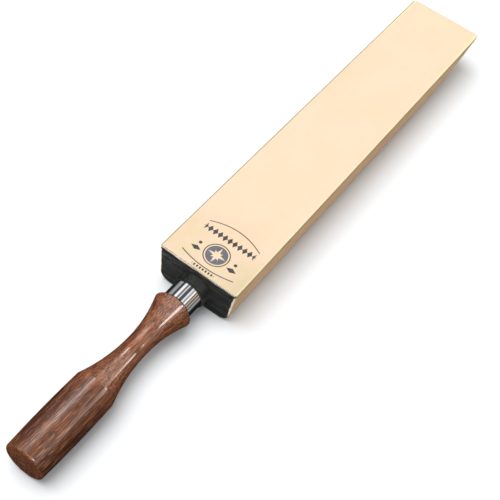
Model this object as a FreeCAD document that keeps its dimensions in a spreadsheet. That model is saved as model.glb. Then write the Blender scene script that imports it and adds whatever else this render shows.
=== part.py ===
import FreeCAD, Part
import os
import re
from math import atan2, sqrt

import Sketcher

# Paddle strop: a strip of leather cemented on a hardwood board, with a turned handle and a plated
# ferrule drawn up against the board's near end by a tie rod.
# The board's long axis is X, towards the tip. Its flat back lies on Z = 0 and the leather faces +Z.
# The origin is the centre of the bottom of the whole object's box.

# Driving dimensions in millimetres. Stations are measured from the board's near end face.
SIZES = {
    "face_width": (50.8, "leather, width of the working face"),
    "leather_thickness": (2.0, "leather, thickness"),
    "cement_thickness": (0.3, "cement film, thickness"),
    "body_length": (284.8, "near end face to the outside of the leather at the tip"),
    "leather_near_corner": (1.5, "leather, corner radius at the near end, seen from above"),
    "leather_tail": (1.0, "leather, straight run down the tip below the bend"),
    "board_depth": (25.1, "board, thickness"),
    "board_top_width": (49.8, "board, width under the leather"),
    "board_back_width": (45.8, "board, width at the back before the corners are rounded"),
    "back_corner_radius": (6.5, "board, rounding of the long back edges"),
    "end_edge_round": (0.9, "board, rounding round the near end face"),
    "sweep_start": (208.0, "board, station where the back starts to sweep up"),
    "sweep_radius": (165.0, "board, radius of the swept back"),
    "nose_top_radius": (4.0, "board, bend of the top over the tip"),
    "tip_corner_radius": (4.0, "corner radius of board and leather at the tip, seen from above"),
    "axis_height": (12.6, "height of the handle's axis above the back"),
    "ferrule_radius": (9.1, "ferrule, outside radius"),
    "ferrule_wall": (0.9, "ferrule, wall"),
    "boss_radius": (10.2, "board, radius of the boss that carries the ferrule"),
    "boss_length": (6.4, "board, length of the boss"),
    "boss_edge_round": (0.6, "board, rounding of the boss's rim and hollow at its foot"),
    "ferrule_seat": (2.0, "board, depth of the ferrule's seat in the boss"),
    "ferrule_edge_round": (0.25, "ferrule, rounding of the rims"),
    "collar_station": (19.0, "handle, station of the collar's face"),
    "collar_radius": (11.65, "handle, radius of the collar's lip"),
    "collar_lip": (0.9, "handle, radius of the lip's two roundings"),
    "neck_radius": (6.45, "handle, smallest radius of the neck"),
    "neck_start": (48.5, "handle, station where the neck becomes straight"),
    "neck_end": (49.5, "handle, station where the neck starts to swell"),
    "shoulder_station": (82.0, "handle, station of the shoulder"),
    "shoulder_radius": (11.9, "handle, radius at the shoulder"),
    "shoulder_round": (3.0, "handle, rounding of the shoulder's ridge"),
    "grip_curve": (700.0, "handle, lengthwise radius of the grip's swell"),
    "butt_station": (132.4, "handle, station of the butt's edge"),
    "butt_radius": (11.5, "handle, radius at the butt"),
    "butt_edge_round": (1.2, "handle, rounding of the butt's edge"),
    "butt_apex": (132.9, "handle, station of the top of the domed butt"),
    "tenon_gap": (0.4, "end of the handle's tenon to the floor of the ferrule's seat"),
    "rod_radius": (3.0, "tie rod, radius of the M6 thread"),
    "rod_bore_radius": (3.2, "radius of the clearance bores for the tie rod"),
    "rod_inner_end": (17.0, "tie rod, depth of its end in the board"),
    "rod_outer_end": (125.0, "tie rod, station of its end in the handle"),
    "rod_point": (0.6, "tie rod, chamfer of both ends"),
    "rod_bore_depth": (27.0, "board, depth of the bore for the tie rod, from the boss's face"),
    "insert_radius": (4.5, "threaded insert, outside radius"),
    "insert_length": (16.0, "threaded insert, length"),
    "recess_radius": (7.2, "handle, radius of the recess in the butt"),
    "recess_station": (117.0, "handle, station of the floor of the recess"),
    "washer_radius": (6.0, "washer, outside radius"),
    "washer_thickness": (1.6, "washer, thickness"),
    "nut_flats": (10.0, "nut, width across flats"),
    "nut_height": (5.0, "nut, height"),
    "plug_station": (127.0, "plug, station of its inner end"),
    "plug_chamfer": (0.25, "plug, chamfer of the inner edge"),
}

# Lengths that follow from the driving dimensions.
NEAR_FACE_X = "(butt_apex - body_length) / 2"
BOARD_LENGTH = "(body_length - leather_thickness - cement_thickness)"
NOSE_START = f"({BOARD_LENGTH} - nose_top_radius)"
SEAT_FLOOR = "(boss_length - ferrule_seat)"
DOME_HEIGHT = "(butt_apex - butt_station)"
DOME_RADIUS = f"((butt_radius ^ 2 + {DOME_HEIGHT} ^ 2) / (2 * {DOME_HEIGHT}))"
DOME_AT_PLUG = f"(butt_apex - {DOME_RADIUS} + sqrt({DOME_RADIUS} ^ 2 - recess_radius ^ 2))"
SWEEP_RUN = f"({BOARD_LENGTH} - sweep_start)"
SWEEP_RISE = f"(sweep_radius - sqrt(sweep_radius ^ 2 - {SWEEP_RUN} ^ 2))"
NECK_CURVE = "(({run}) ^ 2 + ({rise}) ^ 2) / (2 * ({rise}))"

# Which way a curved side of an outline bends, seen along its run.
LEFT = 1
RIGHT = -1

ORIGIN_POINT = (-1, 1)
ACROSS_AXIS = -1
UP_AXIS = -2
START = 1
END = 2

PARTS_FOLDER = "parts"
OVERCUT = "2"

doc = FreeCAD.newDocument("PaddleStrop")


def make_sheet():
    """Write the driving dimensions into a spreadsheet, one aliased cell each."""
    sheet = doc.addObject("Spreadsheet::Sheet", "Sizes")
    for row, (alias, (value, meaning)) in enumerate(SIZES.items(), start=1):
        sheet.set(f"A{row}", meaning)
        sheet.set(f"B{row}", str(value))
        sheet.setAlias(f"B{row}", alias)
    doc.recompute()
    return sheet


sizes = make_sheet()


def bound(text):
    """Turn a formula in dimension names into an expression on the spreadsheet."""
    return re.sub(r"[a-z_]+", lambda name: f"Sizes.{name[0]}" if name[0] in SIZES else name[0], text)


def number(text):
    """The present value of a formula in dimension names."""
    return float(sizes.evalExpression(bound(text)))


# Bodies, sketches and features ---------------------------------------------------------------

def make_body(label, along=NEAR_FACE_X, up="0", faces_handle=False):
    """A body whose origin lies at the formulas (along, 0, up); a body that faces the handle
    is turned about Z, so that its own +X runs towards the butt."""
    body = doc.addObject("PartDesign::Body", label)
    body.Label = label
    if faces_handle:
        body.Placement = FreeCAD.Placement(FreeCAD.Vector(), FreeCAD.Rotation(FreeCAD.Vector(0, 0, 1), 180))
    body.setExpression("Placement.Base.x", bound(along))
    body.setExpression("Placement.Base.z", bound(up))
    return body


def make_sketch(body, name, plane):
    """An empty sketch on one of the body's own origin planes."""
    sketch = body.newObject("Sketcher::SketchObject", name)
    support = next(item for item in body.Origin.OriginFeatures if item.Role == plane)
    sketch.AttachmentSupport = (support, [""])
    sketch.MapMode = "FlatFace"
    return sketch


def constrain(sketch, formula, kind, *where):
    """Add a dimension that follows a formula."""
    index = sketch.addConstraint(Sketcher.Constraint(kind, *where, number(formula)))
    sketch.setExpression(f"Constraints[{index}]", bound(formula))


def pin(sketch, curve, point, across, up):
    """Hold one point of a curve at the formulas (across, up)."""
    for kind, axis, formula in (("DistanceX", UP_AXIS, across), ("DistanceY", ACROSS_AXIS, up)):
        if number(formula) == 0:
            sketch.addConstraint(Sketcher.Constraint("PointOnObject", curve, point, axis))
        else:
            constrain(sketch, formula, kind, *ORIGIN_POINT, curve, point)


def arc_between(first, last, radius, bend):
    """The minor arc from first to last, bending LEFT (anticlockwise) or RIGHT."""
    run = last - first
    half = run.Length / 2
    to_left = FreeCAD.Vector(-run.y, run.x, 0).normalize()
    centre = (first + last) / 2 + to_left * (bend * sqrt(max(radius ** 2 - half ** 2, 0)))
    ends = (first, last) if bend == LEFT else (last, first)
    angles = [atan2(point.y - centre.y, point.x - centre.x) for point in ends]
    return Part.ArcOfCircle(Part.Circle(centre, FreeCAD.Vector(0, 0, 1), radius), *angles)


def draw_outline(sketch, corners):
    """Draw a closed outline. A corner is (across, up), or (across, up, radius, bend) where the
    side that leaves it is an arc."""
    points = [FreeCAD.Vector(number(corner[0]), number(corner[1]), 0) for corner in corners]
    joints = []
    for place, corner in enumerate(corners):
        first = points[place]
        last = points[(place + 1) % len(points)]
        if len(corner) == 2:
            curve = sketch.addGeometry(Part.LineSegment(first, last), False)
            begin, finish = START, END
        else:
            radius, bend = corner[2:]
            curve = sketch.addGeometry(arc_between(first, last, number(radius), bend), False)
            begin, finish = (START, END) if bend == LEFT else (END, START)
        joints.append((curve, begin, finish))
    for place, (curve, begin, finish) in enumerate(joints):
        following, following_begin, _ = joints[(place + 1) % len(joints)]
        sketch.addConstraint(Sketcher.Constraint("Coincident", curve, finish, following, following_begin))
    for (curve, begin, finish), corner in zip(joints, corners):
        pin(sketch, curve, begin, corner[0], corner[1])
        if len(corner) == 4:
            constrain(sketch, corner[2], "Radius", curve)


def draw_circle(sketch, radius, up="0"):
    """Draw a circle centred on the upward axis."""
    centre = FreeCAD.Vector(0, number(up), 0)
    curve = sketch.addGeometry(Part.Circle(centre, FreeCAD.Vector(0, 0, 1), number(radius)), False)
    pin(sketch, curve, 3, "0", up)
    constrain(sketch, radius, "Radius", curve)


def pad(body, sketch, name, length, both_ways=False):
    """Extrude a sketch along its normal, or by half the length each way."""
    feature = body.newObject("PartDesign::Pad", name)
    feature.Profile = sketch
    feature.SideType = "Symmetric" if both_ways else "One side"
    feature.setExpression("Length", bound(length))
    doc.recompute()
    return feature


def cut_away(body, name, feature, settle):
    """Recompute after a cutting feature is set up, and make sure that it removed something."""
    before = feature.BaseFeature.Shape.Volume
    settle(feature)
    doc.recompute()
    if feature.Shape.Volume > before - 1e-6:
        raise ValueError(f"{body.Label}: {name} removes nothing")
    return feature


def pocket_through(body, sketch, name):
    """Cut a sketch's area through the whole body, both ways."""
    feature = body.newObject("PartDesign::Pocket", name)
    feature.Profile = sketch

    def settle(pocket):
        pocket.SideType = "Symmetric"
        pocket.Type = "ThroughAll"

    return cut_away(body, name, feature, settle)


def sketch_disc(body, name, radius, up, along):
    """A sketch of a circle that faces +X, at the formulas (along, 0, up) from the body's origin."""
    sketch = make_sketch(body, name, "YZ_Plane")
    sketch.setExpression("AttachmentOffset.Base.z", bound(along))
    draw_circle(sketch, radius, up)
    return sketch


def bore(body, name, radius, depth, up="0", along="0"):
    """Bore a round hole in the body's +X direction, from the formulas (along, 0, up)."""
    sketch = sketch_disc(body, f"{name}Outline", radius, up, along)
    feature = body.newObject("PartDesign::Pocket", name)
    feature.Profile = sketch

    def settle(pocket):
        pocket.Reversed = True
        pocket.setExpression("Length", bound(depth))

    return cut_away(body, name, feature, settle)


def turn(body, corners):
    """Turn a closed outline in the XZ plane about the body's X axis."""
    sketch = make_sketch(body, "Profile", "XZ_Plane")
    draw_outline(sketch, corners)
    feature = body.newObject("PartDesign::Revolution", "Turned")
    feature.Profile = sketch
    feature.ReferenceAxis = (sketch, ["H_Axis"])
    feature.Angle = 360
    doc.recompute()
    return feature


def edge_names(shape, wanted):
    """The names of the edges that a test picks out."""
    return [f"Edge{place}" for place, edge in enumerate(shape.Edges, start=1) if wanted(edge)]


def dress(body, kind, name, formula, wanted):
    """Round (Fillet) or bevel (Chamfer) the edges of the body that a test picks out."""
    base = body.Tip
    feature = body.newObject(f"PartDesign::{kind}", name)
    feature.Base = (base, edge_names(base.Shape, wanted))
    feature.setExpression("Radius" if kind == "Fillet" else "Size", bound(formula))
    doc.recompute()
    return feature


def at_radius(station, radius):
    """A test for the full circle at a station and a radius about the body's X axis."""
    def wanted(edge):
        circle = edge.Curve
        return (isinstance(circle, Part.Circle) and abs(circle.Radius - number(radius)) < 1e-3
                and abs(circle.Center.x - number(station)) < 1e-3)
    return wanted


# The paddle -----------------------------------------------------------------------------------

def round_tip_corners(body, length, width):
    """Cut both far corners to the tip's corner radius, seen from above."""
    sketch = make_sketch(body, "TipCorners", "XY_Plane")
    inner_x = f"{length} - tip_corner_radius"
    for side, bend in (("", LEFT), ("-", RIGHT)):
        edge = f"{side}({width} / 2)"
        beyond = f"{side}({width} / 2 + {OVERCUT})"
        inner = f"{side}({width} / 2 - tip_corner_radius)"
        draw_outline(sketch, [
            (length, inner, "tip_corner_radius", bend),
            (inner_x, edge),
            (inner_x, beyond),
            (f"{length} + {OVERCUT}", beyond),
            (f"{length} + {OVERCUT}", inner),
        ])
    return pocket_through(body, sketch, "RoundTipCorners")


def make_paddle_board():
    """Hardwood board: flat top, sides that lean in towards the back, and a back that sweeps up
    to a thin rounded tip. The near end has a round boss, with the ferrule's seat and the bores
    for the insert and the tie rod."""
    body = make_body("paddle_board")
    side = make_sketch(body, "SideOutline", "XZ_Plane")
    draw_outline(side, [
        ("0", "0"),
        ("sweep_start", "0", "sweep_radius", LEFT),
        (BOARD_LENGTH, SWEEP_RISE),
        (BOARD_LENGTH, "board_depth"),
        ("0", "board_depth"),
    ])
    pad(body, side, "Blank", "board_top_width", both_ways=True)

    wedges = make_sketch(body, "LeanOutline", "YZ_Plane")
    for sign in ("", "-"):
        draw_outline(wedges, [
            (f"{sign}(board_back_width / 2)", "0"),
            (f"{sign}(board_top_width / 2)", "board_depth"),
            (f"{sign}(board_top_width / 2 + {OVERCUT})", "board_depth"),
            (f"{sign}(board_top_width / 2 + {OVERCUT})", "0"),
        ])
    pocket_through(body, wedges, "LeaningSides")

    def long_back_edge(edge):
        box = edge.BoundBox
        return box.XLength > 20 and box.YLength < 5 and edge.CenterOfMass.z < number("board_depth") - 1

    dress(body, "Fillet", "BackEdges", "back_corner_radius", long_back_edge)
    dress(body, "Fillet", "NearEndEdges", "end_edge_round", lambda edge: edge.BoundBox.XMax < 1e-3)

    nose = make_sketch(body, "NoseOutline", "XZ_Plane")
    draw_outline(nose, [
        (NOSE_START, "board_depth", "nose_top_radius", RIGHT),
        (BOARD_LENGTH, "board_depth - nose_top_radius"),
        (f"{BOARD_LENGTH} + {OVERCUT}", "board_depth - nose_top_radius"),
        (f"{BOARD_LENGTH} + {OVERCUT}", f"board_depth + {OVERCUT}"),
        (NOSE_START, f"board_depth + {OVERCUT}"),
    ])
    pocket_through(body, nose, "NoseBend")
    round_tip_corners(body, BOARD_LENGTH, "board_top_width")

    boss_face = "-boss_length"
    boss = sketch_disc(body, "BossOutline", "boss_radius", "axis_height", boss_face)
    pad(body, boss, "Boss", "boss_length")
    boss_ends = [at_radius(station, "boss_radius") for station in (boss_face, "0")]
    dress(body, "Fillet", "BossEdges", "boss_edge_round", lambda edge: any(end(edge) for end in boss_ends))
    bore(body, "FerruleSeat", "ferrule_radius", "ferrule_seat", "axis_height", boss_face)
    bore(body, "InsertBore", "insert_radius", "ferrule_seat + insert_length", "axis_height", boss_face)
    bore(body, "RodBore", "rod_bore_radius", "rod_bore_depth", "axis_height", boss_face)
    return body


def make_top_layer(label, under, thickness, width, tail):
    """A sheet that lies on the board and bends down over the tip: under is what is already
    between the board and the sheet, tail the straight run below the bend."""
    body = make_body(label)
    low = f"(board_depth + {under})"
    high = f"({low} + {thickness})"
    inside = f"({BOARD_LENGTH} + {under})"
    outside = f"({inside} + {thickness})"
    bend_height = "(board_depth - nose_top_radius)"
    sketch = make_sketch(body, "SideOutline", "XZ_Plane")
    draw_outline(sketch, [
        ("0", low),
        (NOSE_START, low, f"nose_top_radius + {under}", RIGHT),
        (inside, bend_height),
        (inside, f"{bend_height} - {tail}"),
        (outside, f"{bend_height} - {tail}"),
        (outside, bend_height, f"nose_top_radius + {under} + {thickness}", LEFT),
        (NOSE_START, high),
        ("0", high),
    ])
    pad(body, sketch, "Sheet", width, both_ways=True)
    round_tip_corners(body, outside, width)
    return body


def make_cement_layer():
    """Cement film between the board and the leather."""
    return make_top_layer("cement_layer", "0", "cement_thickness", "board_top_width", "leather_tail")


def make_leather_face():
    """Strip of strop leather, cut flush at the near end and bent over the tip."""
    body = make_top_layer("leather_face", "cement_thickness", "leather_thickness", "face_width",
                          "leather_tail")

    def near_corner(edge):
        return edge.BoundBox.XMax < 1e-3 and edge.BoundBox.YLength < 1e-3

    dress(body, "Fillet", "NearCorners", "leather_near_corner", near_corner)
    return body


# The handle -----------------------------------------------------------------------------------

def make_ferrule():
    """Plated tube from its seat in the board's boss to the collar's face."""
    body = make_body("ferrule", up="axis_height", faces_handle=True)
    inner = "(ferrule_radius - ferrule_wall)"
    turn(body, [
        (SEAT_FLOOR, inner),
        ("collar_station", inner),
        ("collar_station", "ferrule_radius"),
        (SEAT_FLOOR, "ferrule_radius"),
    ])
    outer_rims = [at_radius(station, "ferrule_radius") for station in (SEAT_FLOOR, "collar_station")]
    dress(body, "Fillet", "Rims", "ferrule_edge_round", lambda edge: any(rim(edge) for rim in outer_rims))
    return body


def make_handle():
    """Turned hardwood handle: a tenon inside the ferrule, a lipped collar, a waisted neck, a
    shoulder, a slightly swelled grip and a domed butt with a recess for the nut."""
    body = make_body("handle", up="axis_height", faces_handle=True)
    collar_back = "(collar_station + 2 * collar_lip)"
    lip_foot = "(collar_radius - collar_lip)"
    collar_curve = NECK_CURVE.format(run=f"neck_start - {collar_back}", rise="collar_radius - 0.2 - neck_radius")
    shoulder_curve = NECK_CURVE.format(run="shoulder_station - neck_end", rise="shoulder_radius - neck_radius")
    turn(body, [
        (f"{SEAT_FLOOR} + tenon_gap", "rod_bore_radius"),
        (f"{SEAT_FLOOR} + tenon_gap", "ferrule_radius - ferrule_wall"),
        ("collar_station", "ferrule_radius - ferrule_wall"),
        ("collar_station", lip_foot, "collar_lip", RIGHT),
        ("collar_station + collar_lip", "collar_radius"),
        (collar_back, "collar_radius - 0.2", collar_curve, LEFT),
        ("neck_start", "neck_radius"),
        ("neck_end", "neck_radius", shoulder_curve, LEFT),
        ("shoulder_station", "shoulder_radius", "grip_curve", RIGHT),
        ("butt_station", "butt_radius", DOME_RADIUS, RIGHT),
        (DOME_AT_PLUG, "recess_radius"),
        ("recess_station", "recess_radius"),
        ("recess_station", "rod_bore_radius"),
    ])
    dress(body, "Fillet", "ShoulderRidge", "shoulder_round", at_radius("shoulder_station", "shoulder_radius"))
    dress(body, "Fillet", "ButtEdge", "butt_edge_round", at_radius("butt_station", "butt_radius"))
    dress(body, "Fillet", "LipBack", "collar_lip", at_radius(collar_back, "collar_radius - 0.2"))
    return body


def make_butt_plug():
    """Wooden plug that fills the recess and carries on the butt's dome."""
    body = make_body("butt_plug", up="axis_height", faces_handle=True)
    turn(body, [
        ("plug_station", "0"),
        ("plug_station", "recess_radius - plug_chamfer"),
        ("plug_station + plug_chamfer", "recess_radius"),
        (DOME_AT_PLUG, "recess_radius", DOME_RADIUS, RIGHT),
        ("butt_apex", "0"),
    ])
    return body


# The fastening --------------------------------------------------------------------------------

def make_board_insert():
    """Threaded insert, below the floor of the ferrule's seat."""
    body = make_body("board_insert", up="axis_height")
    start = f"-{SEAT_FLOOR}"
    end = f"(insert_length - {SEAT_FLOOR})"
    turn(body, [
        (start, "rod_radius"),
        (end, "rod_radius"),
        (end, "insert_radius"),
        (start, "insert_radius"),
    ])
    return body


def make_tie_rod():
    """Threaded rod from the insert in the board to the nut in the butt."""
    body = make_body("tie_rod", up="axis_height", faces_handle=True)
    tip_radius = "rod_radius - rod_point"
    turn(body, [
        ("-rod_inner_end", "0"),
        ("-rod_inner_end", tip_radius),
        ("-rod_inner_end + rod_point", "rod_radius"),
        ("rod_outer_end - rod_point", "rod_radius"),
        ("rod_outer_end", tip_radius),
        ("rod_outer_end", "0"),
    ])
    return body


def make_butt_washer():
    """Washer on the floor of the recess."""
    body = make_body("butt_washer", up="axis_height", faces_handle=True)
    turn(body, [
        ("recess_station", "rod_bore_radius"),
        ("recess_station", "washer_radius"),
        ("recess_station + washer_thickness", "washer_radius"),
        ("recess_station + washer_thickness", "rod_bore_radius"),
    ])
    return body


def make_butt_nut():
    """Hexagon nut that draws the handle, the ferrule and the board together."""
    seat = f"{NEAR_FACE_X} - recess_station - washer_thickness"
    body = make_body("butt_nut", along=seat, up="axis_height", faces_handle=True)
    hexagon = make_sketch(body, "Hexagon", "YZ_Plane")
    flat = "(nut_flats / 2)"
    half_side = "(nut_flats / (2 * sqrt(3)))"
    draw_outline(hexagon, [
        (flat, half_side),
        ("0", f"2 * {half_side}"),
        (f"-{flat}", half_side),
        (f"-{flat}", f"-{half_side}"),
        ("0", f"-2 * {half_side}"),
        (flat, f"-{half_side}"),
    ])
    pad(body, hexagon, "Nut", "nut_height")
    bore(body, "Thread", "rod_radius", "nut_height")
    return body


# Checking and writing -------------------------------------------------------------------------

def check_document():
    """Stop if any object of the document failed to compute."""
    for item in doc.Objects:
        if {"Invalid", "Error"} & set(item.State):
            raise ValueError(f"{item.Label} failed: {item.State}")


def check_body(body):
    """Stop unless the body is one valid solid."""
    shape = body.Shape
    if shape.isNull() or not shape.isValid() or len(shape.Solids) != 1:
        raise ValueError(f"{body.Label} is not one valid solid")


def write_parts(bodies):
    """Write each body to its own STEP file and print its size."""
    os.makedirs(PARTS_FOLDER, exist_ok=True)
    for body in bodies:
        body.Shape.exportStep(os.path.join(PARTS_FOLDER, f"{body.Label}.step"))
        box = body.Shape.optimalBoundingBox(False)
        print(f"{body.Label}: x {box.XMin:.2f} to {box.XMax:.2f}, y {box.YMin:.2f} to {box.YMax:.2f}, "
              f"z {box.ZMin:.2f} to {box.ZMax:.2f}, volume {body.Shape.Volume:.0f}")


sub_parts = [
    make_paddle_board(),
    make_cement_layer(),
    make_leather_face(),
    make_ferrule(),
    make_handle(),
    make_butt_plug(),
    make_board_insert(),
    make_tie_rod(),
    make_butt_washer(),
    make_butt_nut(),
]
doc.recompute()
check_document()
for sub_part in sub_parts:
    check_body(sub_part)
write_parts(sub_parts)
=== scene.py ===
"""A leather-faced paddle strop with a turned handle, on a white studio floor.

The CAD parts carry the shape. The leather strip is rebuilt here as a softer, slightly uneven piece,
and every surface gets its own procedural material.
Lengths are in metres, except in names that end in _MM and in the looks, whose fields and noise
sizes are in millimetres.
"""
from math import ceil, cos, pi, radians, sin, sqrt

import bmesh
import bpy
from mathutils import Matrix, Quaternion, Vector, noise


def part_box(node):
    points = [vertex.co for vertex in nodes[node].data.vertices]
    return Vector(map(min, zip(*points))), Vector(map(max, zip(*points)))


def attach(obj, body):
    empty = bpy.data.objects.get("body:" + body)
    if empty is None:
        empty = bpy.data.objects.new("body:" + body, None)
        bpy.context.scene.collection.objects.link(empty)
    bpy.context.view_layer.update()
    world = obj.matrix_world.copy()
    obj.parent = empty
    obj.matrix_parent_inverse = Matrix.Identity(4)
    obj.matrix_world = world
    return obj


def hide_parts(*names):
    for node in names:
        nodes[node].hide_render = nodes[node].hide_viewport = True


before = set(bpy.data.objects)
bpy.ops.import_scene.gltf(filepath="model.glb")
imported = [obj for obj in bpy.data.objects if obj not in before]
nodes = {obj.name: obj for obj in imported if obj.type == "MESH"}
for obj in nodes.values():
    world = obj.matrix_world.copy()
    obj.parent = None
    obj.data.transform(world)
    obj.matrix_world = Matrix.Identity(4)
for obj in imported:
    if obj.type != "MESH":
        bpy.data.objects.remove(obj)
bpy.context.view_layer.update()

MM = 0.001
leather_low, leather_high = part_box("leather_face")

NEAR_X = leather_low.x
TOP_Z = leather_high.z


# Fields and looks -----------------------------------------------------------------------------

class Field:
    """A number that varies over a surface: one socket of a node tree, with arithmetic."""

    def __init__(self, tree, socket):
        self.tree = tree
        self.socket = socket

    def apply(self, operation, *others):
        node = self.tree.nodes.new("ShaderNodeMath")
        node.operation = operation
        for value, entry in zip((self, *others), node.inputs):
            plug(self.tree, value, entry)
        return Field(self.tree, node.outputs[0])

    def __add__(self, other):
        return self.apply("ADD", other)

    def __sub__(self, other):
        return self.apply("SUBTRACT", other)

    def __mul__(self, other):
        return self.apply("MULTIPLY", other)

    def __truediv__(self, other):
        return self.apply("DIVIDE", other)

    def rest(self):
        """What is left of 1."""
        return self * -1 + 1

    def size(self):
        return self.apply("ABSOLUTE")

    def smaller(self, other):
        return self.apply("MINIMUM", other)

    def larger(self, other):
        return self.apply("MAXIMUM", other)

    def rise(self, start, end):
        """0 below start, 1 above end, smooth in between; start may be the larger one."""
        node = self.tree.nodes.new("ShaderNodeMapRange")
        node.interpolation_type = "SMOOTHSTEP"
        plug(self.tree, self, node.inputs["Value"])
        low, high = min(start, end), max(start, end)
        node.inputs["From Min"].default_value = low
        node.inputs["From Max"].default_value = high
        node.inputs["To Min"].default_value = 0 if start < end else 1
        node.inputs["To Max"].default_value = 1 if start < end else 0
        return Field(self.tree, node.outputs["Result"])


def plug(tree, value, entry):
    """Link a field or a socket to an input, or set the input to a plain value."""
    if isinstance(value, Field):
        tree.links.new(value.socket, entry)
    elif isinstance(value, bpy.types.NodeSocket):
        tree.links.new(value, entry)
    elif isinstance(value, tuple) and len(entry.default_value) == 4:
        entry.default_value = (*value, 1)
    else:
        entry.default_value = value


def split(tree, vector):
    """The three parts of a vector socket, as fields."""
    node = tree.nodes.new("ShaderNodeSeparateXYZ")
    tree.links.new(vector, node.inputs[0])
    return [Field(tree, node.outputs[axis]) for axis in "XYZ"]


def mix(tree, share, first, second):
    """The colour that is first where share is 0 and second where it is 1."""
    node = tree.nodes.new("ShaderNodeMix")
    node.data_type = "RGBA"
    colour_inputs = [entry for entry in node.inputs if entry.type == "RGBA"]
    plug(tree, share, node.inputs["Factor"])
    plug(tree, first, colour_inputs[0])
    plug(tree, second, colour_inputs[1])
    return next(result for result in node.outputs if result.type == "RGBA")


def ramp(tree, value, stops):
    """A colour or grey that runs through (place, colour) stops as the value goes from 0 to 1."""
    node = tree.nodes.new("ShaderNodeValToRGB")
    plug(tree, value, node.inputs["Fac"])
    elements = node.color_ramp.elements
    while len(elements) < len(stops):
        elements.new(1)
    for element, (place, colour) in zip(elements, stops):
        element.position = place
        element.color = (*colour, 1) if isinstance(colour, tuple) else (colour, colour, colour, 1)
    return node.outputs["Color"]


class Look:
    """A procedural material, with fields for the place on the surface, in millimetres, and for the
    way the surface faces. The place along the strop counts from the near end of the leather."""

    def __init__(self, name, roughness, metallic=0.0, specular=0.5, coat=0.0, coat_roughness=0.03,
                 coat_tint=(1.0, 1.0, 1.0)):
        self.material = bpy.data.materials.new(name)
        self.material.use_nodes = True
        self.tree = self.material.node_tree
        self.shader = self.tree.nodes["Principled BSDF"]
        self.shader.inputs["Roughness"].default_value = roughness
        self.shader.inputs["Metallic"].default_value = metallic
        self.shader.inputs["Specular IOR Level"].default_value = specular
        self.shader.inputs["Coat Weight"].default_value = coat
        self.shader.inputs["Coat Roughness"].default_value = coat_roughness
        self.shader.inputs["Coat Tint"].default_value = (*coat_tint, 1)
        coordinates = self.tree.nodes.new("ShaderNodeTexCoord")
        self.position = self.scaled(coordinates.outputs["Object"], (1 / MM, 1 / MM, 1 / MM))
        along, self.across, self.up = split(self.tree, self.position)
        self.along = along - NEAR_X / MM
        facing = split(self.tree, coordinates.outputs["Normal"])
        self.faces_along, self.faces_across, self.faces_up = facing

    def scaled(self, vector, factors):
        node = self.tree.nodes.new("ShaderNodeVectorMath")
        node.operation = "MULTIPLY"
        self.tree.links.new(vector, node.inputs[0])
        node.inputs[1].default_value = factors
        return node.outputs[0]

    def noise(self, size, detail=3.0, roughness=0.5, distortion=0.0, seed=0.0):
        """Cloudy noise around 0.5, whose blots are about size millimetres along each axis."""
        node = self.tree.nodes.new("ShaderNodeTexNoise")
        node.noise_dimensions = "4D"
        place = self.scaled(self.position, tuple(1 / length for length in size))
        plug(self.tree, place, node.inputs["Vector"])
        node.inputs["W"].default_value = seed
        node.inputs["Scale"].default_value = 1
        node.inputs["Detail"].default_value = detail
        node.inputs["Roughness"].default_value = roughness
        node.inputs["Distortion"].default_value = distortion
        return Field(self.tree, node.outputs["Fac"])

    def mix(self, share, first, second):
        return mix(self.tree, share, first, second)

    def colour(self, value):
        plug(self.tree, value, self.shader.inputs["Base Color"])

    def roughness(self, value):
        plug(self.tree, value, self.shader.inputs["Roughness"])

    def bump(self, height, depth_mm, coat_too=False):
        """Raise the surface by up to depth_mm where the height field is 1."""
        node = self.tree.nodes.new("ShaderNodeBump")
        node.inputs["Strength"].default_value = 1
        node.inputs["Distance"].default_value = depth_mm * MM
        plug(self.tree, height, node.inputs["Height"])
        self.tree.links.new(node.outputs[0], self.shader.inputs["Normal"])
        if coat_too:
            self.tree.links.new(node.outputs[0], self.shader.inputs["Coat Normal"])


# The printed motif ----------------------------------------------------------------------------

# Places are counted from the near end of the leather and, across it, from the motif's middle. Each
# HALF is half of a length, as (along, across) where it is a pair. A rule is (its foot, its sag).
MOTIF_ACROSS_MM = -1.5
INK_SOFTNESS_MM = 0.09
RULE_HALF_MM = 17.0
RULE_THICK_MM = 0.62
LOW_RULE_MM = (4.0, 2.6)
HIGH_RULE_MM = (35.6, -4.4)
MEDALLION_AT_MM = 14.8
MEDALLION_RADIUS_MM = 6.3
RING_RADIUS_MM = 7.4
STAR_RADIUS_MM = 5.7
STAR_WAIST_SHARE = 0.24
STAR_SHORT_SHARE = 0.64
LEAVES_AT_MM = 27.2
LEAVES_HALF_MM = 16.5
LEAF_PITCH_MM = 3.3
LEAF_HALF_MM = (2.5, 1.45)
STEM_HALF_MM = 0.2
STEM_PAST_LEAVES_MM = 0.8
DASHES_AT_MM = 2.35
DASHES_HALF_MM = 7.3
DASH_PITCH_MM = 1.9
DASH_HALF_MM = (0.8, 0.5)
SIDE_MARKS_ACROSS_MM = 11.8
SIDE_LOZENGE_AT_MM = 11.8
SIDE_LOZENGE_HALF_MM = (1.6, 3.2)
SIDE_DOT_AT_MM = 16.0
SIDE_DOT_RADIUS_MM = 1.0


def inked(distance):
    """1 inside a shape, where the distance to its edge is negative, and 0 outside."""
    return distance.rise(INK_SOFTNESS_MM, -INK_SOFTNESS_MM)


def arc_rule(along, across, foot, sag):
    """A thin printed rule at foot, which bows along the strop by sag at its ends."""
    bowed = along - foot - across * across * (sag / RULE_HALF_MM ** 2)
    return inked((bowed.size() - RULE_THICK_MM / 2).larger(across.size() - RULE_HALF_MM))


def lozenge(first, second, half_first, half_second):
    """Distance, roughly, to the edge of a lozenge about the origin."""
    reach = min(half_first, half_second)
    return (first.size() / half_first + second.size() / half_second - 1) * reach


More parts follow.
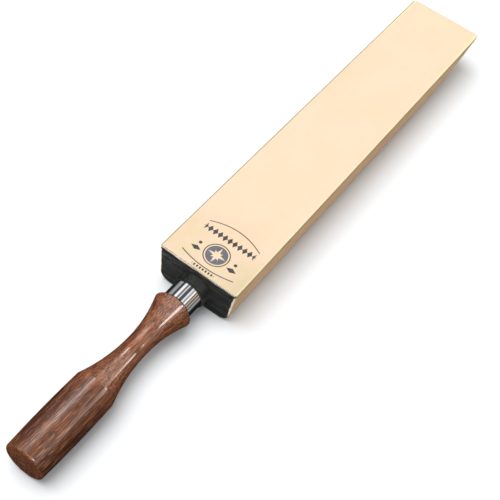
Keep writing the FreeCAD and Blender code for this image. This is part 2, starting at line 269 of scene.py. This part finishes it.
def compass_star(along, across, radius):
    """Distance to the edge of a star with four long and four short points."""
    thin = radius * STAR_WAIST_SHARE
    short = radius * STAR_SHORT_SHARE
    star = lozenge(along, across, radius, thin).smaller(lozenge(along, across, thin, radius))
    first = (along + across) * sqrt(0.5)
    second = (along - across) * sqrt(0.5)
    return star.smaller(lozenge(first, second, short, thin)).smaller(lozenge(first, second, thin, short))


def repeated(across, pitch):
    """The place across each one of a row of equal cells, from the cell's middle."""
    return (across + pitch / 2).apply("FLOORED_MODULO", pitch) - pitch / 2


def motif(look):
    """A generic printed motif: a round medallion with a compass star between two bowed rules, with
    a lozenge and a dot on either side of it, a row of leaves above it and a row of dashes below.
    Returns the masks of the black ink, of the blue-grey ink and of the star left bare in it."""
    along = look.along
    across = look.across - MOTIF_ACROSS_MM
    from_centre = along - MEDALLION_AT_MM
    radius = (from_centre * from_centre + across * across).apply("SQRT")
    disc = inked(radius - MEDALLION_RADIUS_MM)
    star = inked(compass_star(from_centre, across, STAR_RADIUS_MM))

    from_leaves = along - LEAVES_AT_MM
    leaf_across = repeated(across, LEAF_PITCH_MM)
    past_leaves = across.size() - LEAVES_HALF_MM
    leaves = lozenge(from_leaves, leaf_across, *LEAF_HALF_MM).larger(past_leaves)
    stem = (from_leaves.size() - STEM_HALF_MM).larger(past_leaves - STEM_PAST_LEAVES_MM)

    dash_along = (along - DASHES_AT_MM).size() - DASH_HALF_MM[0]
    dash_across = repeated(across, DASH_PITCH_MM).size() - DASH_HALF_MM[1]
    dashes = dash_along.larger(dash_across).larger(across.size() - DASHES_HALF_MM)

    beside = across.size() - SIDE_MARKS_ACROSS_MM
    side_lozenges = lozenge(along - SIDE_LOZENGE_AT_MM, beside, *SIDE_LOZENGE_HALF_MM)
    from_dot = along - SIDE_DOT_AT_MM
    side_dots = (beside * beside + from_dot * from_dot).apply("SQRT") - SIDE_DOT_RADIUS_MM

    black = inked((radius - RING_RADIUS_MM).size() - RULE_THICK_MM / 2)
    for foot_and_sag in (LOW_RULE_MM, HIGH_RULE_MM):
        black = black.larger(arc_rule(along, across, *foot_and_sag))
    for shape in (leaves, stem, dashes, side_lozenges, side_dots):
        black = black.larger(inked(shape))
    return black, disc, star


# Materials ------------------------------------------------------------------------------------

TICK_PITCH_MM = 0.95


def leather_look():
    """Smooth, undyed vegetable-tanned leather with a waxed face and raw cut edges. The board's black
    paint has smeared over the cut at its near end, in part in short ticks."""
    look = Look("strop_leather", roughness=0.5, specular=0.3)
    clouds = look.noise((34, 22, 22), detail=4, seed=1)
    blots = look.noise((7, 5, 5), detail=3, seed=2)
    pores = look.noise((0.55, 0.45, 0.45), detail=2, seed=3)
    fibres = look.noise((0.5, 0.5, 0.2), detail=3, seed=4)
    sideways = look.faces_across.size().rise(0.35, 0.65)
    endways = look.faces_along.rise(-0.45, -0.75).larger(look.faces_up.rise(-0.3, -0.6))
    top = sideways.larger(endways).rest()

    face = look.mix(clouds.rise(0.35, 0.7), (0.700, 0.537, 0.388), (0.690, 0.520, 0.362))
    face = look.mix(blots.rise(0.45, 0.75) * 0.2, face, (0.66, 0.475, 0.32))
    near_end = look.along.rise(60, 0)
    face = look.mix(near_end * 0.5, face, (0.55, 0.45, 0.34))
    stains = look.noise((11, 8, 8), detail=3, seed=7)
    stained_end = look.along.rise(48, 12)
    face = look.mix(stains.rise(0.42, 0.62) * stained_end * 0.45, face, (0.62, 0.50, 0.28))
    face = look.mix(stains.rise(0.55, 0.38) * stained_end * 0.30, face, (0.74, 0.54, 0.37))
    near_right = look.along.rise(34, 3) * look.across.rise(-4, -25)
    face = look.mix(near_right * 0.5, face, (0.49, 0.41, 0.25))
    face = look.mix(look.along.rise(240, 283) * 0.4, face, (0.69, 0.54, 0.36))
    # Painted highlight: a brighter yellow band along both long edges of the face, where the eased edge
    # catches the light, widening towards the tip.
    wide_rim_highlight = look.along.rise(190, 275)
    rim_highlight = (look.across.size() + wide_rim_highlight + (blots - 0.5) * 0.6).rise(24.0, 25.2)
    face = look.mix(rim_highlight * 0.8, face, (0.74, 0.63, 0.37))
    wavering = (fibres - 0.5) * 0.1
    dark_left = (look.across + wavering).rise(24.5, 24.75)
    dark_right = (look.across - wavering).rise(-25.05, -25.2)
    dark_rim = dark_left.larger(dark_right) * look.along.rise(283, 276)
    face = look.mix(dark_rim * 0.85, face, (0.20, 0.165, 0.08))
    smudge = look.noise((0.9, 1.3, 2), detail=3, seed=6).rise(0.40, 0.52) * look.along.rise(0.8, 0.3)
    face = look.mix(smudge * look.across.rise(-6, 6) * 0.9, face, (0.04, 0.037, 0.034))

    black, disc, star = motif(look)
    speckle = look.noise((0.3, 0.3, 0.3), detail=2, seed=5).rise(0.25, 0.42)
    face = look.mix(disc * speckle * star.rest() * 0.97, face, (0.055, 0.063, 0.090))
    face = look.mix(black * speckle, face, (0.008, 0.008, 0.012))

    below_top = look.up * -1 + TOP_Z / MM
    cut = look.mix(fibres.rise(0.35, 0.65), (0.13, 0.095, 0.045), (0.22, 0.16, 0.08))
    # The cut's fibres vary in tone. On the strop's right side and round the tip, the top millimetre or
    # so of the cut is painted lighter: a painted highlight where the eased edge catches the light.
    highlit_upper_cut = look.mix(fibres.rise(0.35, 0.65), (0.60, 0.50, 0.28), (0.76, 0.66, 0.40))
    cut_highlight = below_top.rise(1.25, 0.95).larger(look.along.rise(276, 281)) * look.across.rise(5, -5)
    cut = look.mix(cut_highlight, cut, highlit_upper_cut)
    near_cut = look.mix(fibres.rise(0.3, 0.7), (0.62, 0.55, 0.44), (0.92, 0.89, 0.82))
    paint_line = below_top + look.across * 0.012 + (blots - 0.5) * 2.4 + (fibres - 0.5) * 0.6
    near_cut = look.mix(paint_line.rise(0.95, 1.25), near_cut, (0.03, 0.03, 0.028))
    ticks = repeated(look.across, TICK_PITCH_MM).size().rise(0.30, 0.18)
    near_cut = look.mix(ticks * look.across.rise(6, 3) * 0.85, near_cut, (0.03, 0.026, 0.022))
    cut = look.mix(look.along.rise(0.7, 0.25), cut, near_cut)
    look.colour(look.mix(top, cut, face))
    ink = black.larger(disc)
    look.roughness((clouds - 0.5) * 0.25 + (pores - 0.5) * 0.2 + 0.5 - ink * 0.12)
    grain = pores * 0.6 + blots * 0.5
    look.bump(grain * top + fibres * top.rest() * 3, 0.05)
    return look.material


def board_look():
    """Bare sanded hardwood whose near end has been dipped in black paint."""
    look = Look("board_wood", roughness=0.6, specular=0.2)
    streaks = look.noise((120, 3.0, 2.2), detail=4, roughness=0.6, seed=11)
    grain = look.noise((26, 0.7, 0.45), detail=3, roughness=0.6, seed=12)
    pores = look.noise((2.6, 0.16, 0.13), detail=2, seed=13)
    wood = look.mix(streaks.rise(0.35, 0.65), (0.62, 0.42, 0.235), (0.55, 0.345, 0.21))
    wood = look.mix(grain.rise(0.45, 0.72) * 0.5, wood, (0.43, 0.25, 0.13))
    wood = look.mix(pores.rise(0.62, 0.75) * 0.4, wood, (0.28, 0.15, 0.08))
    layers = look.noise((500, 60, 2.6), detail=3, roughness=0.6, seed=22)
    wood = look.mix(layers.rise(0.50, 0.62) * 0.6, wood, (0.52, 0.27, 0.14))
    wood = look.mix(look.along.rise(26, 2) * 0.4, wood, (0.42, 0.25, 0.12))

    ragged = look.noise((1.2, 1.2, 2.6), detail=4, roughness=0.65, seed=14)
    drips = look.noise((9, 7, 7), detail=2, seed=15)
    reach = ragged * 1.3 + drips * 0.8 - 0.35
    paint = (look.along - reach).rise(0.12, -0.12)
    from_middle = look.across.size() + look.up * -0.08
    corner = (from_middle + (ragged - 0.5) * 1.6).rise(22.0, 22.3) * look.up.rise(4, 9)
    chipped = ragged.rise(0.64, 0.69) * look.along.rise(0.05, 0.4)
    bare = corner.larger(chipped)
    paint = paint * bare.rest()
    wood = look.mix(corner * look.along.rise(1.3, 0.6), wood, (0.80, 0.70, 0.56))

    scratch_lines = look.noise((5, 7.0, 0.22), detail=2, distortion=0.4, seed=17)
    scratch_area = look.noise((20, 9, 6), detail=1, seed=18)
    scuffed_corner = look.across.rise(2, 20) * look.up.rise(11, 23)
    scuffed = scuffed_corner.larger(scratch_area.rise(0.62, 0.75) * 0.6)
    scratches = scratch_lines.rise(0.57, 0.63) * scuffed
    specks = look.noise((0.35, 0.35, 0.35), detail=1, seed=19).rise(0.74, 0.78)
    brushed = look.noise((9, 14, 0.9), detail=4, roughness=0.6, seed=20)
    black = look.mix(brushed.rise(0.38, 0.66), (0.016, 0.018, 0.018), (0.058, 0.061, 0.056))
    # Painted shade: the black paint is made darker still on upward-facing surfaces, such as the top of
    # the boss, which the light shows lighter.
    black = look.mix(look.faces_up.rise(-0.1, 0.6) * 0.95, black, (0.004, 0.005, 0.004))
    black = look.mix(scratches.larger(specks) * 0.8, black, (0.36, 0.35, 0.33))
    look.colour(look.mix(paint, wood, black))
    look.roughness(look.noise((5, 5, 5), seed=21) * 0.3 + 0.5 - paint * 0.15)
    height = grain * 0.5 + pores * 0.5
    look.bump(height * (paint * -0.8 + 1) + paint * 1.6 - scratches * 1.2, 0.045)
    return look.material


def cement_look():
    """Dried contact cement, squeezed out a little unevenly along the joint."""
    look = Look("cement", roughness=0.55, specular=0.4)
    lumps = look.noise((1.6, 1.2, 0.5), detail=3, seed=31)
    look.colour(look.mix(lumps.rise(0.35, 0.65), (0.05, 0.034, 0.018), (0.17, 0.115, 0.06)))
    look.roughness(lumps * 0.3 + 0.4)
    look.bump(lumps, 0.08)
    return look.material


# The tree's pith would lie outside the handle, at (across, up). The wood darkens over the run in
# HEARTWOOD_MM, from the neck to the grip.
PITH_MM = (30.0, 64.0)
RING_PITCH_MM = 2.6
HEARTWOOD_MM = (-74, -96)


def handle_look():
    """Turned red-brown hardwood under a thick glossy varnish."""
    look = Look("handle_wood", roughness=0.4, specular=0.4, coat=1.0, coat_roughness=0.07,
                coat_tint=(0.86, 0.57, 0.37))
    wander = look.noise((60, 14, 14), detail=3, seed=41)
    across = look.across - PITH_MM[0]
    up = look.up - PITH_MM[1]
    rings = (across * across + up * up).apply("SQRT") / RING_PITCH_MM + wander * 3
    wave = (rings * (2 * pi)).apply("SINE") * 0.5 + 0.5
    streaks = look.noise((80, 0.8, 0.8), detail=4, roughness=0.6, seed=42)
    fine = look.noise((13, 0.5, 0.5), detail=3, roughness=0.55, seed=43)
    pores = look.noise((7.0, 0.34, 0.34), detail=2, seed=44)
    flecks_and_glints = look.noise((9.0, 0.36, 0.36), detail=2, seed=47)
    glow = look.noise((18, 6, 6), detail=2, seed=45)
    figure = look.noise((150, 1.4, 1.4), detail=3, roughness=0.55, seed=48)

    # Painted light: the butt's end face gets a lighter tone so that it matches the grip's side, where
    # its shading shows it darker.
    lightened_end_face = look.faces_along.rise(-0.3, -0.8)
    heart = look.along.rise(*HEARTWOOD_MM)
    grain = wave * 0.16 + streaks * 1.35 + (fine - 0.5) * 0.9
    tone = grain + lightened_end_face * 0.22 - heart * 0.26 - 0.27
    wood = ramp(look.tree, tone, [
        (0.26, (0.055, 0.018, 0.010)),
        (0.38, (0.130, 0.058, 0.038)),
        (0.50, (0.205, 0.100, 0.070)),
        (0.62, (0.285, 0.155, 0.115)),
        (0.76, (0.380, 0.240, 0.185)),
    ])
    wood = look.mix(glow.rise(0.48, 0.70) * 0.5, wood, (0.36, 0.165, 0.080))
    wood = look.mix(figure.rise(0.54, 0.64) * 0.80, wood, (0.045, 0.016, 0.011))
    wood = look.mix(pores.rise(0.55, 0.65) * 0.8, wood, (0.040, 0.015, 0.010))
    # Light flecks in the grain, made whitish as painted glints of the varnish.
    wood = look.mix(flecks_and_glints.rise(0.54, 0.66) * 0.50, wood, (0.58, 0.43, 0.38))
    look.colour(wood)
    look.roughness(fine * 0.25 + 0.3)
    ripple = look.noise((26, 5, 5), detail=1, seed=46)
    look.bump(ripple * 0.4 + fine * (heart * 0.4 + 0.12), 0.05, coat_too=True)
    return look.material


# The short runs along the ferrule over which painted shade comes in, by the collar and by the boss.
COLLAR_END_MM = (-17.2, -17.6)
BOSS_END_MM = (-6.9, -6.6)


def ferrule_look():
    """Bright plating with faint polishing lines round the tube, a few dull spots and painted shade
    at both ends of what shows of it, where it meets the collar and the boss."""
    look = Look("plated_ferrule", roughness=0.1, metallic=1.0)
    lines = look.noise((0.3, 9, 9), detail=1, seed=51)
    haze = look.noise((6, 4, 4), detail=3, seed=52)
    spots = look.noise((0.7, 0.7, 0.7), detail=2, seed=53).rise(0.70, 0.76)
    metal = look.mix(haze.rise(0.45, 0.75) * 0.5, (0.90, 0.90, 0.92), (0.78, 0.76, 0.74))
    metal = look.mix(spots * 0.6, metal, (0.32, 0.28, 0.24))
    # Painted shade: the tube darkens where it runs under the collar's lip and into the boss.
    painted_end_shade = look.along.rise(*COLLAR_END_MM).larger(look.along.rise(*BOSS_END_MM))
    look.colour(look.mix(painted_end_shade * 0.9, metal, (0.05, 0.04, 0.03)))
    look.roughness(haze * 0.04 + lines * 0.01 + spots * 0.25)
    look.bump(lines * 0.2 + haze * 1.5, 0.002)
    return look.material


def metal_look(name, bright, dull, seed):
    """Machined metal with turning marks and a dull film, for the fastening inside."""
    look = Look(name, roughness=0.35, metallic=1.0)
    marks = look.noise((0.3, 5, 5), detail=2, seed=seed)
    film = look.noise((5, 3, 3), detail=4, seed=seed + 1)
    look.colour(look.mix(film.rise(0.4, 0.7), bright, dull))
    look.roughness(film * 0.3 + marks * 0.15 + 0.1)
    look.bump(marks, 0.02)
    return look.material


# Pieces in mesh code --------------------------------------------------------------------------

def add_piece(name, mesh_maker, replaced, material):
    """Put a mesh built by mesh_maker(bm) on the strop, in place of CAD nodes."""
    bm = bmesh.new()
    mesh_maker(bm)
    bmesh.ops.recalc_face_normals(bm, faces=bm.faces)
    mesh = bpy.data.meshes.new(name)
    bm.to_mesh(mesh)
    bm.free()
    mesh.shade_smooth()
    piece = bpy.data.objects.new(name, mesh)
    bpy.context.scene.collection.objects.link(piece)
    mesh.materials.append(material)
    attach(piece, "root")
    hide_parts(*replaced)
    return piece


def skin(bm, loops):
    """Join a run of equal closed loops of points by quads, and close both ends."""
    rings = [[bm.verts.new(point) for point in loop] for loop in loops]
    count = len(rings[0])
    for first, second in zip(rings, rings[1:]):
        for place in range(count):
            following = (place + 1) % count
            bm.faces.new((first[place], first[following], second[following], second[place]))
    bm.faces.new(rings[0])
    bm.faces.new(list(reversed(rings[-1])))


# LEATHER_BEND is the radius of the strip's underside over the tip. There the strip thins down to
# SKIVED_TO, from the slope SKIVE_FROM on. The corners are radii seen from above.
LEATHER_THICK = 2.0 * MM
LEATHER_BEND = 4.3 * MM
LEATHER_TAIL = 1.0 * MM
SKIVED_TO = 0.6 * MM
NEAR_CORNER = 1.5 * MM
TIP_CORNER = 6.5 * MM
FACE_EDGE = 0.45 * MM
SKIVE_FROM = radians(35)
STATION_STEP = 1.2 * MM
NEAR_STATIONS_MM = (0, 0.06, 0.16, 0.32, 0.6)
BEND_STEPS = 18
EDGE_STEPS = 6
FACE_SHARES = (0.9, 0.75, 0.6, 0.45, 0.3, 0.15)


def leather_path():
    """Points on the underside of the leather with their outward normals: the flat run, the bend
    over the tip and the short tail, from the near end on."""
    bend_x = leather_high.x - LEATHER_THICK - LEATHER_BEND
    bend_z = TOP_Z - LEATHER_THICK - LEATHER_BEND
    steps = ceil((bend_x - NEAR_X) / STATION_STEP)
    flat = [NEAR_X + run * MM for run in NEAR_STATIONS_MM]
    flat += [NEAR_X + (bend_x - NEAR_X) * place / steps for place in range(1, steps)]
    path = [(Vector((x, 0, bend_z + LEATHER_BEND)), Vector((0, 0, 1))) for x in flat]
    for place in range(BEND_STEPS + 1):
        angle = radians(90 * place / BEND_STEPS)
        outward = Vector((sin(angle), 0, cos(angle)))
        path.append((Vector((bend_x, 0, bend_z)) + outward * LEATHER_BEND, outward))
    tail_x = bend_x + LEATHER_BEND
    for drop in (0.5 * LEATHER_TAIL, 0.85 * LEATHER_TAIL, LEATHER_TAIL):
        path.append((Vector((tail_x, 0, bend_z - drop)), Vector((1, 0, 0))))
    return path


def leather_thickness(outward):
    """The strip is full thickness where it faces up, and skived thin where it is bent down."""
    bent = max(0.0, outward.x - sin(SKIVE_FROM)) / (1 - sin(SKIVE_FROM))
    return LEATHER_THICK + (SKIVED_TO - LEATHER_THICK) * bent ** 1.5


def leather_half_width(x):
    """Half the strip's width at x, seen from above, with its rounded corners."""
    half = leather_high.y
    from_near = x - NEAR_X
    if from_near < NEAR_CORNER:
        inset = NEAR_CORNER - from_near
        return half - NEAR_CORNER + sqrt(max(NEAR_CORNER ** 2 - inset ** 2, 0))
    inset = x - (leather_high.x - TIP_CORNER)
    if inset > 0:
        return half - TIP_CORNER + sqrt(max(TIP_CORNER ** 2 - inset ** 2, 0))
    return half


def leather_section():
    """The strip's outline across its width, as (share of the half width, inset from the edge,
    share of the thickness), anticlockwise: square below, eased on the face side."""
    right = [(1, 0, 0.0), (1, 0, 0.45)]
    for place in range(EDGE_STEPS + 1):
        angle = radians(90 * place / EDGE_STEPS)
        drop = FACE_EDGE / LEATHER_THICK * (1 - sin(angle))
        right.append((1, FACE_EDGE * (1 - cos(angle)), 1 - drop))
    face = [(share, 0, 1) for share in FACE_SHARES]
    half_loop = right + face
    mirrored = [(-share, inset, height) for share, inset, height in reversed(half_loop)]
    return half_loop + [(0, 0, 1)] + mirrored


def build_leather(bm):
    """The leather strip, a little uneven along its cut edges and over its face."""
    section = leather_section()
    path = leather_path()
    last = len(path) - 1
    eased_ends_mm = {0: 0.30, 1: 0.17, 2: 0.08, 3: 0.02, last - 1: 0.07, last: 0.25}
    loops = []
    for place, (foot, outward) in enumerate(path):
        thick = leather_thickness(outward)
        eased = thick - eased_ends_mm.get(place, 0) * MM
        loop = []
        for share, inset, height in section:
            on_edge = abs(share) == 1
            point = foot + outward * min(height * thick, eased)
            if height == 1 and not on_edge:
                sag_mm = 0.04 + 0.06 * noise.noise(Vector((point.x * 28, share * 1.3, 9.7)))
                point -= outward * (sag_mm * MM)
            point.y = share * (leather_half_width(point.x) - inset)
            if on_edge:
                waver = abs(noise.noise(Vector((point.x * 90, share * 7, 3.1))))
                fibre = abs(noise.noise(Vector((point.x * 700, share * 40, height * 1.8))))
                point.y -= share * (waver * 0.10 + fibre * 0.07) * MM
            loop.append(point)
        loops.append(loop)
    skin(bm, loops)


# The object -----------------------------------------------------------------------------------

def paint_node(name, material):
    """Give a CAD node that stays in view one material all over."""
    for slot in nodes[name].material_slots:
        slot.material = material


def build_strop():
    """Dress every CAD node, and build the leather strip that replaces one of them. The matt pieces
    are left out of what the varnish and the plating mirror."""
    leather = leather_look()
    varnished = handle_look()
    steel = metal_look("steel_fastener", (0.62, 0.63, 0.65), (0.40, 0.40, 0.38), 61)
    strip = add_piece("leather_strip", build_leather, ["leather_face"], leather)
    paint_node("paddle_board", board_look())
    paint_node("cement_layer", cement_look())
    paint_node("ferrule", ferrule_look())
    paint_node("handle", varnished)
    paint_node("butt_plug", varnished)
    paint_node("board_insert", metal_look("insert_brass", (0.78, 0.62, 0.30), (0.48, 0.34, 0.15), 71))
    for name in ("tie_rod", "butt_washer", "butt_nut"):
        paint_node(name, steel)
    for piece in (nodes["paddle_board"], nodes["cement_layer"], strip):
        piece.visible_glossy = False


# The studio -----------------------------------------------------------------------------------

FLOOR_DROP = 0.15 * MM
FLOOR_RADIUS = 4.0
SKY_LIGHT = 0.62
WHITE = (1.0, 1.0, 1.0)

# What gloss mirrors, as stops of (angle, grey tone or colour). The angle is in degrees about the
# strop's length, from straight up, and grows towards the strop's right. The bands turn crisp as the
# mirrored ray leans towards +X by CRISP_FROM, which it does on the ferrule, and are soft elsewhere.
CRISP_FROM = (0.40, 0.46)
SOFT_BANDS = [
    (-180, 0.02), (-105, 0.03), (-70, 0.40), (-35, 0.85), (0, 0.30), (40, 0.90), (75, 0.35), (105, 0.04),
    (180, 0.02),
]
GLOSS_BANDS = [
    (-180, 0.03), (-97, 0.02), (-92, 0.14), (-84, 0.34), (-62, 0.38), (-59, 0.03), (-42, 0.13),
    (-39, 1.05), (-27, 1.05), (-23, 0.17), (-12, 0.13), (-9, 0.80), (-4, 0.80), (0, 0.08), (19, 0.10),
    (22, 0.85), (31, 0.80), (36, 0.28), (43, 0.42), (46, 1.10), (52, 1.10), (56, (0.28, 0.22, 0.15)),
    (62, (0.05, 0.04, 0.03)), (66, (0.62, 0.52, 0.40)), (72, (0.50, 0.41, 0.30)),
    (75, (0.05, 0.035, 0.025)), (81, (0.06, 0.045, 0.03)), (84, (0.60, 0.50, 0.38)),
    (91, (0.36, 0.29, 0.21)), (98, 0.03), (108, 0.42), (128, 0.01),
]


def build_floor():
    """A wide white floor just under the strop, which gloss doesn't mirror."""
    bm = bmesh.new()
    bmesh.ops.create_circle(bm, cap_ends=True, segments=96, radius=FLOOR_RADIUS)
    mesh = bpy.data.meshes.new("floor")
    bm.to_mesh(mesh)
    bm.free()
    floor = bpy.data.objects.new("floor", mesh)
    floor.location.z = -FLOOR_DROP
    floor.visible_glossy = False
    bpy.context.scene.collection.objects.link(floor)
    look = Look("studio_floor", roughness=0.9, specular=0.0)
    mottle = look.noise((300, 300, 300), detail=2, seed=91)
    look.colour(look.mix(mottle.rise(0.3, 0.7), (0.775, 0.795, 0.810), (0.780, 0.800, 0.815)))
    mesh.materials.append(look.material)


# Strips that the varnish mirrors, each as: the angle of its middle, half its width and its soft
# edge in degrees, where it fades in and where it fades out as the mirrored ray leans towards +X, and
# its brightness.
GLOSS_STRIPS = [
    (41, 4, 3, (-0.50, -0.30), (0.22, 0.08), 13.0),
    (5, 20, 55, (-0.70, -0.40), (0.16, 0.02), 1.6),
    (-19, 5, 5, (0.20, 0.30), (0.462, 0.448), 3.5),
    (-19, 4, 4, (0.410, 0.425), (0.462, 0.448), 11.0),
    (-22, 4, 4, (0.510, 0.525), (0.66, 0.56), 12.0),
    (57, 4, 8, (0.20, 0.30), (0.462, 0.448), 1.5),
    (57, 4, 6, (0.410, 0.425), (0.462, 0.448), 10.0),
    (60, 4, 6, (0.510, 0.525), (0.90, 0.60), 11.0),
    (5, 20, 45, (0.50, 0.58), (0.98, 0.85), 1.5),
    (-18, 8, 24, (0.10, 0.34), (0.44, 0.39), 1.7),
]


def strip_light(turn, along, middle, half_width, soft, fade_in, fade_out, brightness):
    """A bright strip in the mirrored studio, faded at its edges and ends."""
    side = (turn - middle).size().rise(half_width + soft, half_width)
    return side * along.rise(*fade_in) * along.rise(*fade_out) * brightness


def build_sky():
    """Even white light all round. What gloss mirrors is a studio of bright and dark strips that
    run along the strop."""
    world = bpy.data.worlds.new("studio")
    world.use_nodes = True
    bpy.context.scene.world = world
    tree = world.node_tree
    coordinates = tree.nodes.new("ShaderNodeTexCoord")
    along, across, up = split(tree, coordinates.outputs["Generated"])
    turn = (across * -1).apply("ARCTAN2", up) / radians(1)
    crisp, soft = (
        ramp(tree, turn / 360 + 0.5, [(angle / 360 + 0.5, tone) for angle, tone in bands])
        for bands in (GLOSS_BANDS, SOFT_BANDS)
    )
    bands = mix(tree, along.rise(*CRISP_FROM), soft, crisp)
    shapes = [strip_light(turn, along, *strip) for strip in GLOSS_STRIPS]
    strips = sum(shapes[1:], shapes[0])
    rays = tree.nodes.new("ShaderNodeLightPath")
    seen = tree.nodes.new("ShaderNodeVectorMath")
    tree.links.new(bands, seen.inputs[0])
    tree.links.new(strips.socket, seen.inputs[1])
    sky = (SKY_LIGHT, SKY_LIGHT, SKY_LIGHT)
    light = mix(tree, rays.outputs["Is Glossy Ray"], sky, seen.outputs[0])
    light = mix(tree, rays.outputs["Is Camera Ray"], light, WHITE)
    tree.links.new(light, tree.nodes["Background"].inputs["Color"])


KEY_FROM = (-0.06, 0.31, 1.0)
KEY_SPREAD = 54
KEY_LIGHT = 2.80


def build_key():
    """One large soft key light, high up and leaning to the strop's left. Gloss sees the mirrored
    studio instead of it."""
    lamp = bpy.data.lights.new("key", "SUN")
    lamp.energy = KEY_LIGHT
    lamp.angle = radians(KEY_SPREAD)
    key = bpy.data.objects.new("key", lamp)
    key.location = KEY_FROM
    key.rotation_mode = "QUATERNION"
    key.rotation_quaternion = (-Vector(KEY_FROM)).to_track_quat("-Z", "Y")
    key.visible_glossy = False
    bpy.context.scene.collection.objects.link(key)


# The camera -----------------------------------------------------------------------------------

CAMERA_TARGET = (-0.03674, -0.00878, 0.0137)
CAMERA_DISTANCE = 0.5606
CAMERA_TURN = 24.21
CAMERA_HEIGHT = 52.94
CAMERA_ROLL = 14.20
CAMERA_LENS = 72.17


def build_camera():
    """Look down along the strop from behind the handle: turned to its right side, raised above
    the floor and rolled about the line of sight, all in degrees."""
    turn, height = radians(CAMERA_TURN), radians(CAMERA_HEIGHT)
    back = Vector((-cos(turn) * cos(height), -sin(turn) * cos(height), sin(height)))
    data = bpy.data.cameras.new("camera")
    data.lens = CAMERA_LENS
    data.sensor_width = 36
    camera = bpy.data.objects.new("camera", data)
    camera.location = Vector(CAMERA_TARGET) + back * CAMERA_DISTANCE
    camera.rotation_mode = "QUATERNION"
    roll = Quaternion((0, 0, 1), radians(CAMERA_ROLL))
    camera.rotation_quaternion = (-back).to_track_quat("-Z", "Y") @ roll
    bpy.context.scene.collection.objects.link(camera)
    bpy.context.scene.camera = camera


bpy.context.scene.view_settings.view_transform = "Standard"
build_camera()
build_strop()
build_floor()
build_sky()
build_key()
